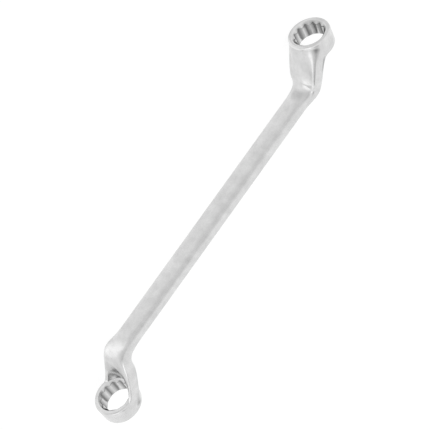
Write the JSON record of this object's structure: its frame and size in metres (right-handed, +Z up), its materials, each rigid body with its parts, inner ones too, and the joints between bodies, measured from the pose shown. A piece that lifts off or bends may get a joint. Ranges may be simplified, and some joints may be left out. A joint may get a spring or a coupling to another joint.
{
  "type": "ring spanner",
  "caption": "Double-ended ring spanner with deep-offset necks and twelve-point openings for turning hexagon nuts and bolts.",
  "frame": {"origin": "middle of the underside of the part's box: the spanner lies on its side, on the outer walls of both rings", "axes": "+X along the line of the two rings towards the small ring, +Y along the rings' axis, the way the small ring's nut face looks, +Z up, across the width of the shank"},
  "size_m": [0.2468, 0.1098, 0.0264],
  "materials": {
    "chrome_plated_steel": "satin chrome plate over forged chrome-vanadium steel"
  },
  "bodies": {
    "root": {"ring_spanner": "chrome_plated_steel"}
  },
  "joints": []
}
